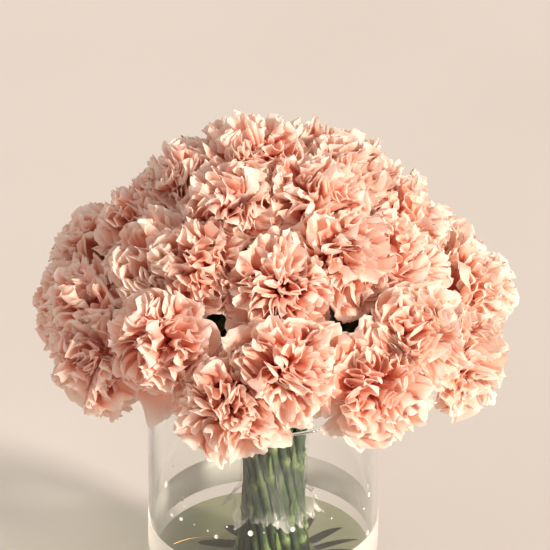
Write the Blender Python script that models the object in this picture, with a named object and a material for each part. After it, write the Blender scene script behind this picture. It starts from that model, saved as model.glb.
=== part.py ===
"""Carnations in a clear glass vase.

A hand-tied dome of carnations stands in a cylinder vase. The stems cross in a spiral,
are drawn together at a waist inside a clear film sleeve, and fan out again over the rim.
Units are metres, +Z is up, and the vase stands on z = 0 round the Z axis.
"""

import math

import bmesh
import bpy
from mathutils import Matrix
from mathutils import Vector

MM = 0.001

# The vase, the band round it and the water in it
VASE_DIAMETER = 150 * MM
VASE_HEIGHT = 200 * MM
VASE_WALL = 3 * MM
VASE_BASE = 10 * MM
VASE_SIDES = 48
HEAD_SIDES = 10
RIM_ROUNDING = 0.8 * MM
WATER_LEVEL = 67 * MM
BAND_HEIGHT = 23 * MM
BAND_BELOW_RIM = 101 * MM
BAND_THICKNESS = 0.4 * MM

# The gap that two touching pieces keep
GAP = 0.3 * MM

# The bouquet: where it stands, and where its dome of flowers sits above the rim
BOUQUET_X = 7 * MM
DOME_ABOVE_RIM = 31 * MM
DOME_RADIUS = 155 * MM

# One carnation: its petals, its green calyx and its stem
BLOOM_WIDTH = 74 * MM
BLOOM_DEPTH = 46 * MM
CALYX_LENGTH = 25 * MM
CALYX_DIAMETER = 14 * MM
STEM_DIAMETER = 5.6 * MM
NECK_DIAMETER = 4.6 * MM
STEM_SIDES = 6
STEM_CLEARANCE = 0.5 * MM
STEM_PRESS = 0.82

# The waist, where the stems are drawn together, and the film sleeve round it
WAIST_BELOW_RIM = 72 * MM
SPIRAL_HEIGHT = 85 * MM
STEM_RISE = 1.2
FILM_ABOVE_WAIST = 27 * MM
FILM_BELOW_WAIST = 38 * MM
FILM_FLARE = 11 * MM
FILM_THICKNESS = 0.4 * MM
FILM_CLEARANCE = 0.6 * MM

# The rings of flowers from the crown down: how many, the first one's direction round the
# dome, the ring's tilt from straight up, how far every second one sits above or below it, and
# how far the ring is sunk into the dome, as a share of the dome's radius
RINGS = (
    (1, 200, 5, 0, 0.045),
    (6, 0, 25, 0, 0.09),
    (12, 0, 50, 3, 0.11),
    (18, 196, 80, 5, 0),
)
# The whole dome leans back a little, so its front flowers stand higher than the back ones
DOME_LEAN = 7
TURN_SWAY = 4
TILT_SWAY = 2

WAIST_Z = VASE_HEIGHT - WAIST_BELOW_RIM
DOME_CENTRE = Vector((BOUQUET_X, 0, VASE_HEIGHT + DOME_ABOVE_RIM))
VASE_RADIUS = VASE_DIAMETER / 2
STEM_FOOT_Z = VASE_BASE + 2 * GAP
LEAN_BACK = Matrix.Rotation(-math.radians(DOME_LEAN), 3, "X")


def clear_scene():
    for obj in list(bpy.data.objects):
        bpy.data.objects.remove(obj, do_unlink=True)


def make_material(name, colour, roughness, metallic=0.0, transmission=0.0):
    material = bpy.data.materials.new(name)
    material.use_nodes = True
    shader = material.node_tree.nodes["Principled BSDF"]
    shader.inputs["Base Color"].default_value = (*colour, 1)
    shader.inputs["Roughness"].default_value = roughness
    shader.inputs["Metallic"].default_value = metallic
    shader.inputs["Transmission Weight"].default_value = transmission
    material.diffuse_color = (*colour, 1)
    return material


def add_object(name, bm, material, sharp_angle=40):
    bmesh.ops.recalc_face_normals(bm, faces=bm.faces)
    mesh = bpy.data.meshes.new(name)
    bm.to_mesh(mesh)
    bm.free()
    mesh.materials.append(material)
    mesh.shade_smooth()
    mesh.set_sharp_from_angle(angle=math.radians(sharp_angle))
    obj = bpy.data.objects.new(name, mesh)
    bpy.context.collection.objects.link(obj)
    return obj


def circle_points(centre, side, other, radius, count):
    """Points round a circle that starts along `side` and turns toward `other`."""
    points = []
    for step in range(count):
        angle = 2 * math.pi * step / count
        points.append(centre + radius * (math.cos(angle) * side + math.sin(angle) * other))
    return points


def loft(bm, loops, closed):
    """Join equal loops of points with faces, and cap both ends unless it closes on itself."""
    rings = []
    for loop in loops:
        rings.append([bm.verts.new(point) for point in loop])
    count = len(rings[0])
    steps = len(rings) if closed else len(rings) - 1
    for step in range(steps):
        lower = rings[step]
        upper = rings[(step + 1) % len(rings)]
        for side in range(count):
            after = (side + 1) % count
            bm.faces.new((lower[side], lower[after], upper[after], upper[side]))
    if not closed:
        bm.faces.new(rings[0])
        bm.faces.new(rings[-1])


def level_circle(x, radius, height, count):
    centre = Vector((x, 0, height))
    return circle_points(centre, Vector((1, 0, 0)), Vector((0, 1, 0)), radius, count)


def turned(profile, sides, x=0.0, closed=True):
    """A body of revolution round the upright line at x, from (radius, height) points."""
    bm = bmesh.new()
    loft(bm, [level_circle(x, radius, height, sides) for radius, height in profile], closed)
    return bm


# Where each flower stands


def flower_places():
    """Direction, ring and place in the ring of every flower, from the crown down."""
    places = []
    for ring, (count, first, tilt, zigzag, sunk) in enumerate(RINGS):
        for place in range(count):
            index = len(places)
            turn = first + 360 * place / count + TURN_SWAY * math.sin(2.4 * index)
            lean = tilt + TILT_SWAY * math.sin(1.7 * index + 1)
            lean += -zigzag if place % 2 == 0 else zigzag
            turn = math.radians(turn)
            lean = math.radians(lean)
            slot = math.radians(first + 360 * place / count)
            places.append({"ring": ring, "turn": turn, "lean": lean, "slot": slot, "sunk": sunk})
    return places


def head_axis(place):
    across = math.sin(place["lean"])
    x = across * math.cos(place["turn"])
    y = across * math.sin(place["turn"])
    return LEAN_BACK @ Vector((x, y, math.cos(place["lean"])))


def head_base(place):
    """The middle of the flower's underside, where the calyx meets the petals."""
    return DOME_CENTRE + head_axis(place) * (DOME_RADIUS * (1 - place["sunk"]) - BLOOM_DEPTH)


# The stems: one curve each, from the vase's floor through the waist to the flower


def pressed_ring_radius(count):
    if count < 2:
        return 0.0
    return STEM_PRESS * STEM_DIAMETER / (2 * math.sin(math.pi / count))


def waist_radius(ring):
    """Radius of a ring of stems at the waist: the inner rings press together."""
    count = RINGS[ring][0]
    if ring < len(RINGS) - 1:
        return pressed_ring_radius(count)
    apart = STEM_DIAMETER + STEM_CLEARANCE
    round_ring = apart / (2 * math.sin(math.pi / count))
    return max(round_ring, pressed_ring_radius(RINGS[ring - 1][0]) + apart)


def flare_below_waist(height):
    """How much wider the crossing stems stand at a height below the waist."""
    return math.hypot(1, (height - WAIST_Z) / SPIRAL_HEIGHT)


def spiral_turn(height):
    return -math.atan((height - WAIST_Z) / SPIRAL_HEIGHT)


def stem_turn(place, height):
    """Direction of a stem round the bundle at a height, before it bends to its flower."""
    return place["slot"] + spiral_turn(height) - spiral_turn(DOME_CENTRE.z)


def stem_curve(place, below=4, above=8):
    """Centre points of one stem, from its foot up to the flower's underside."""
    radius = waist_radius(place["ring"])
    axis = head_axis(place)
    end = head_base(place) - axis * GAP
    neck = end - axis * CALYX_LENGTH
    top_radius = math.hypot(neck.x - BOUQUET_X, neck.y)
    top_turn = math.atan2(neck.y, neck.x - BOUQUET_X)
    sway = math.remainder(top_turn - stem_turn(place, neck.z), 2 * math.pi)
    points = []
    for step in range(below):
        height = STEM_FOOT_Z + (WAIST_Z - STEM_FOOT_Z) * step / below
        points.append(around(radius * flare_below_waist(height), stem_turn(place, height), height))
    rise = STEM_RISE * math.hypot(top_radius - radius, neck.z - WAIST_Z)
    waist = (WAIST_Z, radius)
    top = (neck.z, top_radius)
    arrive = (rise * axis.z, rise * math.hypot(axis.x, axis.y))
    for step in range(above):
        t = step / above
        height, across = hermite(waist, (rise, 0), top, arrive, t)
        turn = top_turn if radius == 0 else stem_turn(place, height) + sway * t * t
        points.append(around(across, turn, height))
    for step in range(4):
        points.append(neck + (end - neck) * step / 3)
    return points


def around(radius, turn, height):
    return Vector((BOUQUET_X + radius * math.cos(turn), radius * math.sin(turn), height))


def hermite(start, leave, end, arrive, t):
    """A smooth curve's two coordinates at t, from its ends and its end directions."""
    a = 2 * t**3 - 3 * t**2 + 1
    b = t**3 - 2 * t**2 + t
    c = -2 * t**3 + 3 * t**2
    d = t**3 - t**2
    return [a * p + b * q + c * r + d * s for p, q, r, s in zip(start, leave, end, arrive)]


def stem_radii(count):
    """Stem radius at each point: even below, slimmer at the neck, then the calyx."""
    neck = count - 4
    radii = []
    for step in range(neck + 1):
        radii.append((STEM_DIAMETER + (NECK_DIAMETER - STEM_DIAMETER) * step / neck) / 2)
    radii.append(CALYX_DIAMETER * 0.40)
    radii.append(CALYX_DIAMETER * 0.48)
    radii.append(CALYX_DIAMETER * 0.50)
    return radii


def tube(points, radii, sides):
    """A round tube along a curve, its loops turned with the curve so that it never twists."""
    bm = bmesh.new()
    loops = []
    side = Vector((1, 0, 0))
    for step, point in enumerate(points):
        before = points[max(step - 1, 0)]
        after = points[min(step + 1, len(points) - 1)]
        along = (after - before).normalized()
        if step == 0:
            along = Vector((0, 0, 1))
        side = (side - along * side.dot(along)).normalized()
        loops.append(circle_points(point, side, along.cross(side), radii[step], sides))
    loft(bm, loops, closed=False)
    return bm


def build_stem(name, place, material):
    points = stem_curve(place)
    return add_object(name, tube(points, stem_radii(len(points)), STEM_SIDES), material)


def build_inner_stems(places, material):
    """The stems inside the bundle, pressed into one body at the waist."""
    stems = []
    for number, place in enumerate(places):
        stems.append(build_stem(f"inner_stem_cutter_{number:02d}", place, material))
    whole = stems[0]
    whole.name = "inner_stems"
    others = bpy.data.collections.new("stems_to_join")
    for stem in stems[1:]:
        others.objects.link(stem)
        bpy.context.collection.objects.unlink(stem)
    join = whole.modifiers.new("join", "BOOLEAN")
    join.operation = "UNION"
    join.operand_type = "COLLECTION"
    join.collection = others
    join.solver = "EXACT"
    join.use_self = False
    graph = bpy.context.evaluated_depsgraph_get()
    mesh = bpy.data.meshes.new_from_object(whole.evaluated_get(graph))
    whole.modifiers.clear()
    whole.data = mesh
    for stem in stems[1:]:
        bpy.data.objects.remove(stem, do_unlink=True)
    bpy.data.collections.remove(others)
    return whole


# The flowers


def head_profile():
    """(radius, height) points of one bloom's outer shape, from the calyx to the top."""
    half = BLOOM_WIDTH / 2
    points = [(CALYX_DIAMETER / 2 + 1 * MM, 0.0)]
    points.append((half * 0.62, BLOOM_DEPTH * 0.20))
    points.append((half * 0.93, BLOOM_DEPTH * 0.45))
    points.append((half, BLOOM_DEPTH * 0.63))
    points.append((half * 0.86, BLOOM_DEPTH * 0.85))
    points.append((half * 0.50, BLOOM_DEPTH * 0.98))
    return points


def build_head(name, place, neighbours, material):
    """One bloom: a round cushion of petals, pressed flat against its neighbours."""
    axis = head_axis(place)
    base = head_base(place)
    side = axis.orthogonal().normalized()
    other = axis.cross(side)
    bm = bmesh.new()
    loops = []
    for radius, height in head_profile():
        loops.append(circle_points(base + axis * height, side, other, radius, HEAD_SIDES))
    loft(bm, loops, closed=False)
    middle = bloom_middle(place)
    for neighbour in neighbours:
        apart = bloom_middle(neighbour) - middle
        facing = apart.normalized()
        press_flat(bm, (middle + bloom_middle(neighbour)) / 2 - facing * GAP / 2, facing)
    return add_object(name, bm, material, sharp_angle=60)


def bloom_middle(place):
    return head_base(place) + head_axis(place) * BLOOM_DEPTH * 0.6


def press_flat(bm, point, facing):
    """Cut away what lies past a plane and close the cut."""
    everything = list(bm.verts) + list(bm.edges) + list(bm.faces)
    cut = bmesh.ops.bisect_plane(
        bm, geom=everything, dist=1e-6, plane_co=point, plane_no=facing, clear_outer=True
    )
    edges = [item for item in cut["geom_cut"] if isinstance(item, bmesh.types.BMEdge)]
    if edges:
        bmesh.ops.contextual_create(bm, geom=edges)


def build_heads(places, material):
    for number, place in enumerate(places):
        near = []
        for other in places:
            if other is not place:
                apart = (bloom_middle(other) - bloom_middle(place)).length
                if apart < BLOOM_WIDTH * 1.2:
                    near.append(other)
        build_head(f"flower_head_{number + 1:02d}", place, near, material)


# The vase and what it holds


def build_vase(material):
    inner = VASE_RADIUS - VASE_WALL
    profile = [
        (VASE_RADIUS - RIM_ROUNDING, 0),
        (VASE_RADIUS, RIM_ROUNDING),
        (VASE_RADIUS, VASE_HEIGHT - RIM_ROUNDING),
        (VASE_RADIUS - RIM_ROUNDING, VASE_HEIGHT),
        (inner + RIM_ROUNDING, VASE_HEIGHT),
        (inner, VASE_HEIGHT - RIM_ROUNDING),
        (inner, VASE_BASE + 2 * RIM_ROUNDING),
        (inner - 2 * RIM_ROUNDING, VASE_BASE),
    ]
    return add_object("glass_vase", turned(profile, VASE_SIDES, closed=False), material)


def bundle_radius(height, curves):
    """How far the outermost stem's centre line stands from the bundle's middle."""
    widest = 0.0
    for points in curves:
        for low, high in zip(points, points[1:]):
            if low.z <= height < high.z:
                point = low.lerp(high, (height - low.z) / (high.z - low.z))
                widest = max(widest, math.hypot(point.x - BOUQUET_X, point.y))
    return widest


def film_radius(height, curves):
    """Inner radius of the film sleeve: close on the stems, flared at its lower edge."""
    down = max(0.0, (WAIST_Z - height) / FILM_BELOW_WAIST)
    flare = FILM_FLARE * down * down
    return bundle_radius(height, curves) + STEM_DIAMETER / 2 + FILM_CLEARANCE + flare


def build_film(places, material):
    curves = [stem_curve(place) for place in places]
    bottom = WAIST_Z - FILM_BELOW_WAIST
    heights = [bottom + (WAIST_Z - bottom) * step / 4 for step in range(5)]
    heights += [WAIST_Z + FILM_ABOVE_WAIST * step / 2 for step in (1, 2)]
    inner = [(film_radius(height, curves), height) for height in heights]
    outer = [(radius + FILM_THICKNESS, height) for radius, height in inner]
    profile = outer + inner[::-1]
    return add_object("film_sleeve", turned(profile, 32, BOUQUET_X), material)


def build_water(places, material):
    """The water round the bundle: its bore clears the stems and the sleeve's lower edge."""
    curves = [stem_curve(place) for place in places]
    stems = bundle_radius(STEM_FOOT_Z, curves) + STEM_DIAMETER
    sleeve = film_radius(WAIST_Z - FILM_BELOW_WAIST, curves) + FILM_THICKNESS
    bore = max(stems, sleeve) + 2 * GAP
    edge = VASE_RADIUS - VASE_WALL - GAP
    floor = VASE_BASE + GAP
    corner = 2 * RIM_ROUNDING
    bm = bmesh.new()
    loops = []
    for radius, height in ((edge - corner, floor), (edge, floor + corner), (edge, WATER_LEVEL)):
        loops.append(level_circle(0, radius, height, VASE_SIDES))
    for height in (WATER_LEVEL, floor):
        loops.append(level_circle(BOUQUET_X, bore, height, VASE_SIDES))
    loft(bm, loops, closed=True)
    return add_object("water", bm, material)


def build_band(material):
    inner = VASE_RADIUS + GAP
    top = VASE_HEIGHT - BAND_BELOW_RIM
    bottom = top - BAND_HEIGHT
    outer = inner + BAND_THICKNESS
    profile = [(outer, bottom), (outer, top), (inner, top), (inner, bottom)]
    return add_object("label_band", turned(profile, VASE_SIDES), material)


def main():
    clear_scene()
    petal = make_material("petals", (0.88, 0.53, 0.42), 0.6)
    green = make_material("stem_green", (0.13, 0.22, 0.08), 0.45)
    glass = make_material("vase_glass", (0.93, 0.96, 0.94), 0.03, transmission=0.9)
    film = make_material("clear_film", (0.95, 0.95, 0.93), 0.12, transmission=0.9)
    liquid = make_material("vase_water", (0.70, 0.74, 0.62), 0.02, transmission=0.9)
    paper = make_material("band_film", (0.90, 0.84, 0.76), 0.35)

    places = flower_places()
    inner = [place for place in places if place["ring"] < 3]
    outer = [place for place in places if place["ring"] == 3]

    build_vase(glass)
    build_water(outer, liquid)
    build_band(paper)
    build_film(outer, film)
    build_inner_stems(inner, green)
    for number, place in enumerate(outer):
        build_stem(f"outer_stem_{number + 1:02d}", place, green)
    build_heads(places, petal)


main()
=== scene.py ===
# %% [markdown]
# # Carnations in a vase
#
# A hand-tied dome of peach-pink carnations stands in a clear cylinder vase. The solid model
# already fixes where every stem, bloom and wall of glass is. This script loads it as a frame and
# builds what the eye sees: ruffled petals, green stems and calyxes, crumpled film, glass, water
# and the pale band. Everything is made in code, in metres, in the frame's own coordinates.

# %% Load the frame
import math

import bmesh
import bpy
import numpy as np
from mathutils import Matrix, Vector


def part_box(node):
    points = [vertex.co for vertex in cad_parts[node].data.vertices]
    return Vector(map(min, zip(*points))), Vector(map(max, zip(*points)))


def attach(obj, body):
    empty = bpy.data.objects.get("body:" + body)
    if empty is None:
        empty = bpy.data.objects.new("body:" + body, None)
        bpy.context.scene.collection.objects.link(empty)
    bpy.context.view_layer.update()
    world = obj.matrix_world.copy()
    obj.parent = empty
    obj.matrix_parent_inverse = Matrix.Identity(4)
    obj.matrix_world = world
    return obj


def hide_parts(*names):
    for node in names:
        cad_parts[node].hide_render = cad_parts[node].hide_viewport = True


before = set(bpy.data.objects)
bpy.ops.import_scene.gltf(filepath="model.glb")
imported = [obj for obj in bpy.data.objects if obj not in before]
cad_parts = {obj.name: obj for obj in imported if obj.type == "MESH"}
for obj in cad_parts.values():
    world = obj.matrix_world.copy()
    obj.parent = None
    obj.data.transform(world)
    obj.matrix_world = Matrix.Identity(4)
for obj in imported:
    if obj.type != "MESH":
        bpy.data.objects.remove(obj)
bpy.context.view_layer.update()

MM = 0.001
vase_low, vase_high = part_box("glass_vase")
print("the vase stands from", tuple(vase_low), "to", tuple(vase_high))

# %% [markdown]
# ## Where each flower stands
#
# The florist lays stems one by one at a slant, so they cross in a spiral, squeeze through a
# narrow waist and fan out into a dome. One flower on the crown and three rings round it describe
# the dome: each ring has a count, a first direction, a tilt from straight up, a zigzag and how
# far it is sunk into the dome, as a share of the dome's radius. Working the places out by rule,
# as the solid model does, keeps petals, calyx and stem in line with it. The script stops if this
# plan and the solid blooms are further apart than the slack below.

# %% The plan of the bouquet
VASE_RADIUS = (vase_high[0] - vase_low[0]) / 2
VASE_HEIGHT = vase_high[2] - vase_low[2]
VASE_WALL = 3 * MM
VASE_BASE = 10 * MM
BOUQUET_X = 7 * MM
DOME_CENTRE = np.array((BOUQUET_X, 0, VASE_HEIGHT + 31 * MM))
DOME_RADIUS = 155 * MM
DOME_LEAN = 7
BLOOM_WIDTH = 74 * MM
BLOOM_DEPTH = 46 * MM
RINGS = (
    (1, 200, 5, 0, 0.045),
    (6, 0, 25, 0, 0.09),
    (12, 0, 50, 3, 0.11),
    (18, 196, 80, 5, 0),
)
TURN_SWAY = 4
TILT_SWAY = 2
PLAN_SLACK = 10 * MM


def unit(vector):
    return vector / np.linalg.norm(vector)


def flower_places():
    """Every flower's direction from the middle of the dome, from the crown down."""
    lean_back = math.radians(DOME_LEAN)
    places = []
    for ring, (count, first, tilt, zigzag, sunk) in enumerate(RINGS):
        for place in range(count):
            index = len(places)
            slot = math.radians(first + 360 * place / count)
            turn = slot + math.radians(TURN_SWAY * math.sin(2.4 * index))
            tip = tilt + TILT_SWAY * math.sin(1.7 * index + 1)
            tip = math.radians(tip - zigzag if place % 2 == 0 else tip + zigzag)
            x = math.sin(tip) * math.cos(turn)
            y = math.sin(tip) * math.sin(turn)
            z = math.cos(tip)
            back = y * math.cos(lean_back) + z * math.sin(lean_back)
            up = z * math.cos(lean_back) - y * math.sin(lean_back)
            axis = np.array((x, back, up))
            base = DOME_CENTRE + axis * (DOME_RADIUS * (1 - sunk) - BLOOM_DEPTH)
            places.append({"ring": ring, "slot": slot, "axis": axis, "base": base})
    return places


flowers = flower_places()
furthest = 0
for number, flower in enumerate(flowers, start=1):
    low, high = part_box(f"flower_head_{number:02d}")
    middle = (np.array(low) + np.array(high)) / 2
    planned = flower["base"] + flower["axis"] * BLOOM_DEPTH / 2
    furthest = max(furthest, float(np.linalg.norm(middle - planned)))
print("the planned blooms lie within", round(furthest / MM, 1), "mm of the solid ones")
if furthest > PLAN_SLACK:
    raise ValueError("this plan and the solid model disagree about where the blooms stand")

# %% [markdown]
# ## The camera
#
# The flowers are seen from a little above, from far away with a long lens, so that near and far
# blooms look almost the same size. The camera comes first because every later choice of detail
# depends on how large things look. A long lens at a real distance gives this calm perspective;
# moving closer with a short one would swell the front of the dome.

# %% Camera
AIM = Vector((7.8 * MM, 0, 274 * MM))
CAMERA_HEIGHT_ANGLE = math.radians(28.5)
CAMERA_DISTANCE = 2.16
CAMERA_LENS = 223.5
SENSOR_WIDTH = 36

camera_data = bpy.data.cameras.new("camera")
camera_data.lens = CAMERA_LENS
camera_data.sensor_width = SENSOR_WIDTH
camera = bpy.data.objects.new("camera", camera_data)
bpy.context.collection.objects.link(camera)
away = Vector((0, -math.cos(CAMERA_HEIGHT_ANGLE), math.sin(CAMERA_HEIGHT_ANGLE)))
camera.location = AIM + away * CAMERA_DISTANCE
camera.rotation_euler = (AIM - camera.location).to_track_quat("-Z", "Y").to_euler()
bpy.context.scene.camera = camera
print("the camera stands at", tuple(round(value, 3) for value in camera.location))

# %% [markdown]
# ## Helpers for meshes
#
# Thousands of petals are too many to add face by face with the modelling operators. Each shape
# here is a grid of points worked out with numpy, and one helper turns any number of grids into a
# mesh in one go, with extra values stored on the points for the materials to read.

# %% Mesh helpers


def grid_faces(rows, columns, first=0, wrap=False):
    """Four-cornered faces of a grid of points numbered row by row."""
    across = columns if wrap else columns - 1
    row, column = np.meshgrid(np.arange(rows - 1), np.arange(across), indexing="ij")
    after = (column + 1) % columns
    corners = (row * columns + column, row * columns + after)
    upper = ((row + 1) * columns + after, (row + 1) * columns + column)
    return first + np.stack(corners + upper, axis=-1).reshape(-1, 4)


def add_mesh(name, points, faces, material, values=None, places=None):
    """A smooth mesh object from arrays, with colour values and vector places on its points."""
    mesh = bpy.data.meshes.new(name)
    mesh.vertices.add(len(points))
    mesh.vertices.foreach_set("co", points.astype(np.float32).ravel())
    mesh.loops.add(faces.size)
    mesh.loops.foreach_set("vertex_index", faces.astype(np.int32).ravel())
    mesh.polygons.add(len(faces))
    mesh.polygons.foreach_set("loop_start", np.arange(0, faces.size, 4, dtype=np.int32))
    mesh.update(calc_edges=True)
    if values is not None:
        layer = mesh.attributes.new("values", "FLOAT_COLOR", "POINT")
        colours = np.concatenate([values, np.ones((len(values), 1))], axis=1)
        layer.data.foreach_set("color", colours.astype(np.float32).ravel())
    if places is not None:
        layer = mesh.attributes.new("places", "FLOAT_VECTOR", "POINT")
        layer.data.foreach_set("vector", places.astype(np.float32).ravel())
    mesh.shade_smooth()
    mesh.materials.append(material)
    obj = bpy.data.objects.new(name, mesh)
    bpy.context.collection.objects.link(obj)
    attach(obj, "root")
    return obj


def smooth(low, high, value):
    """Zero below low, one above high, and a smooth rise between."""
    share = np.clip((value - low) / (high - low), 0, 1)
    return share * share * (3 - 2 * share)


# %% [markdown]
# ## Helpers for materials
#
# A material is a small network of nodes. These helpers keep each network short to read: one adds
# a node with its settings, one links two sockets, and one makes a colour ramp.

# %% Material helpers


def start_material(name):
    material = bpy.data.materials.new(name)
    material.use_nodes = True
    material.node_tree.nodes.clear()
    return material, material.node_tree


def add_node(tree, kind, values=None, **settings):
    """Add a node, set its properties, and fill in sockets by name or number."""
    made = tree.nodes.new(kind)
    for key, value in settings.items():
        setattr(made, key, value)
    for key, value in (values or {}).items():
        if isinstance(value, bpy.types.NodeSocket):
            tree.links.new(value, made.inputs[key])
        else:
            made.inputs[key].default_value = value
    return made


def ramp(tree, factor, stops):
    """A colour ramp node from (position, colour) stops."""
    made = add_node(tree, "ShaderNodeValToRGB", {"Fac": factor})
    elements = made.color_ramp.elements
    while len(elements) < len(stops):
        elements.new(0.5)
    for element, (position, colour) in zip(elements, stops):
        element.position = position
        element.color = (*colour, 1) if len(colour) == 3 else colour
    return made.outputs["Color"]


def math_node(tree, operation, first, second=0.0, clamp=False):
    return add_node(
        tree, "ShaderNodeMath", {0: first, 1: second}, operation=operation, use_clamp=clamp
    ).outputs[0]


def mix_colours(tree, factor, first, second, blend="MIX"):
    made = add_node(tree, "ShaderNodeMix", data_type="RGBA", blend_type=blend)
    for key, value in ((0, factor), (6, first), (7, second)):
        if isinstance(value, bpy.types.NodeSocket):
            tree.links.new(value, made.inputs[key])
        else:
            made.inputs[key].default_value = value
    return made.outputs[2]


def finish_material(tree, shader):
    output = add_node(tree, "ShaderNodeOutputMaterial")
    tree.links.new(shader, output.inputs["Surface"])


# %% [markdown]
# ## Effects that several finishes share
#
# Petals, stems and leaves all show fine fibres that run along them, and glass, film and the band
# all carry faint smears. Each effect is a node group, built once and placed in every finish with
# its own values. A group is like a function: named inputs go in, and masks and normals come out.

# %% Shared effects


def start_group(name, inputs, outputs):
    """A node group with named sockets; returns it with its input and output node."""
    tree = bpy.data.node_groups.new(name, "ShaderNodeTree")
    for label, kind in inputs:
        tree.interface.new_socket(label, in_out="INPUT", socket_type=kind)
    for label, kind in outputs:
        tree.interface.new_socket(label, in_out="OUTPUT", socket_type=kind)
    return tree, add_node(tree, "NodeGroupInput").outputs, add_node(tree, "NodeGroupOutput")


def fibres_group():
    """Fibres along a petal, stem or leaf, soft patches of colour, and the fibres' relief."""
    number = "NodeSocketFloat"
    inputs = (("Place", "NodeSocketVector"), ("Across", number), ("Along", number))
    inputs += (("Patch scale", number), ("Relief", number))
    outputs = (("Fibres", number), ("Patches", number), ("Normal", "NodeSocketVector"))
    tree, given, result = start_group("fibres", inputs, outputs)
    stretch = add_node(
        tree, "ShaderNodeCombineXYZ", {"X": given["Across"], "Y": given["Along"], "Z": 1.0}
    ).outputs[0]
    stretched = add_node(
        tree, "ShaderNodeVectorMath", {0: given["Place"], 1: stretch}, operation="MULTIPLY"
    ).outputs[0]
    lines = add_node(
        tree, "ShaderNodeTexNoise", {"Vector": stretched, "Scale": 1.0, "Detail": 3.0}
    ).outputs[0]
    patches = add_node(
        tree,
        "ShaderNodeTexNoise",
        {"Vector": given["Place"], "Scale": given["Patch scale"], "Detail": 2.0},
    ).outputs[0]
    normal = add_node(
        tree, "ShaderNodeBump", {"Strength": 0.3, "Distance": given["Relief"], "Height": lines}
    ).outputs[0]
    for label, socket in (("Fibres", lines), ("Patches", patches), ("Normal", normal)):
        tree.links.new(socket, result.inputs[label])
    return tree


def smears_group():
    """Faint smears and small dents on a smooth surface, in the object's own space."""
    number = "NodeSocketFloat"
    inputs = (("Smear scale", number), ("Dent scale", number), ("Dent depth", number))
    outputs = (("Smears", number), ("Normal", "NodeSocketVector"))
    tree, given, result = start_group("smears", inputs, outputs)
    where = add_node(tree, "ShaderNodeTexCoord").outputs["Object"]
    smears = add_node(
        tree,
        "ShaderNodeTexNoise",
        {"Vector": where, "Scale": given["Smear scale"], "Detail": 4.0, "Distortion": 1.2},
    ).outputs[0]
    dents = add_node(
        tree, "ShaderNodeTexNoise", {"Vector": where, "Scale": given["Dent scale"], "Detail": 2.0}
    ).outputs[0]
    normal = add_node(
        tree, "ShaderNodeBump", {"Strength": 0.4, "Distance": given["Dent depth"], "Height": dents}
    ).outputs[0]
    for label, socket in (("Smears", smears), ("Normal", normal)):
        tree.links.new(socket, result.inputs[label])
    return tree


fibres_effect = fibres_group()
smears_effect = smears_group()
print("made two shared effects:", fibres_effect.name, "and", smears_effect.name)

# %% [markdown]
# ## Petal colour
#
# A petal of this carnation is cream along its toothed margin and turns peach, then coral, towards
# the narrow claw that sits in the calyx. Fine veins fan along it. Petals are thin, so light that
# falls on one side glows through the other: a Translucent shader mixed with the Principled one
# does that without the cost of true scattering inside the sheet. The mesh carries, for each
# point, how far along the petal it is, how deep in the bloom, and a tint. Deep in the bloom the
# colour is pulled further to coral: painted shade and painted glow of light bounced among the
# petals. The tint is a random tone plus painted shade on blooms that face left, away from the
# sun; both mix in a darker rose colour.

# %% Petal material


def petal_material():
    material, tree = start_material("petals")
    values = add_node(tree, "ShaderNodeAttribute", attribute_name="values").outputs["Color"]
    places = add_node(tree, "ShaderNodeAttribute", attribute_name="places").outputs["Vector"]
    parts = add_node(tree, "ShaderNodeSeparateColor", {"Color": values}).outputs
    along, depth, tint = parts["Red"], parts["Green"], parts["Blue"]

    skin = add_node(
        tree,
        "ShaderNodeGroup",
        {"Place": places, "Across": 26.0, "Along": 1.6, "Patch scale": 2.2, "Relief": 0.0003},
        node_tree=fibres_effect,
    ).outputs
    veins, clouds, grain = skin["Fibres"], skin["Patches"], skin["Normal"]
    shade = math_node(tree, "MULTIPLY_ADD", math_node(tree, "SUBTRACT", veins, 0.5), 0.16)
    tree.links.new(along, shade.node.inputs[2])
    cloudy = math_node(tree, "MULTIPLY_ADD", math_node(tree, "SUBTRACT", clouds, 0.5), 0.22)
    tree.links.new(shade, cloudy.node.inputs[2])
    # Points deep in the bloom are pulled towards coral: painted shade and painted glow of light
    # bounced among the petals.
    sunk = math_node(tree, "SUBTRACT", cloudy, math_node(tree, "MULTIPLY", depth, 0.55))
    colour = ramp(
        tree,
        sunk,
        (
            (0.00, (0.90, 0.19, 0.10)),
            (0.25, (0.95, 0.36, 0.23)),
            (0.55, (0.98, 0.57, 0.41)),
            (0.82, (0.99, 0.71, 0.56)),
            (1.00, (0.99, 0.79, 0.65)),
        ),
    )
    # The tint mixes in a darker rose colour: a random tone, plus painted shade on blooms that face
    # left, away from the sun.
    rosy = mix_colours(tree, 0.45, colour, (0.93, 0.52, 0.50, 1), "MULTIPLY")
    blade = mix_colours(tree, tint, colour, rosy)
    margin = ramp(tree, cloudy, ((0.84, (0.0,) * 3), (0.93, (0.45,) * 3), (1.0, (0.95,) * 3)))
    coloured = mix_colours(tree, margin, blade, (1.0, 0.90, 0.81, 1))

    sheet = add_node(
        tree,
        "ShaderNodeBsdfPrincipled",
        {"Base Color": coloured, "Roughness": 0.55, "Normal": grain, "Specular IOR Level": 0.3},
    )
    sheet.inputs["Sheen Weight"].default_value = 0.15
    sheet.inputs["Sheen Roughness"].default_value = 0.5
    glow = add_node(tree, "ShaderNodeBsdfTranslucent", {"Color": coloured, "Normal": grain})
    both = add_node(
        tree, "ShaderNodeMixShader", {0: 0.5, 1: sheet.outputs[0], 2: glow.outputs[0]}
    )
    finish_material(tree, both.outputs[0])
    return material


petals_finish = petal_material()
print("made the petal finish with", len(petals_finish.node_tree.nodes), "nodes")

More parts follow.
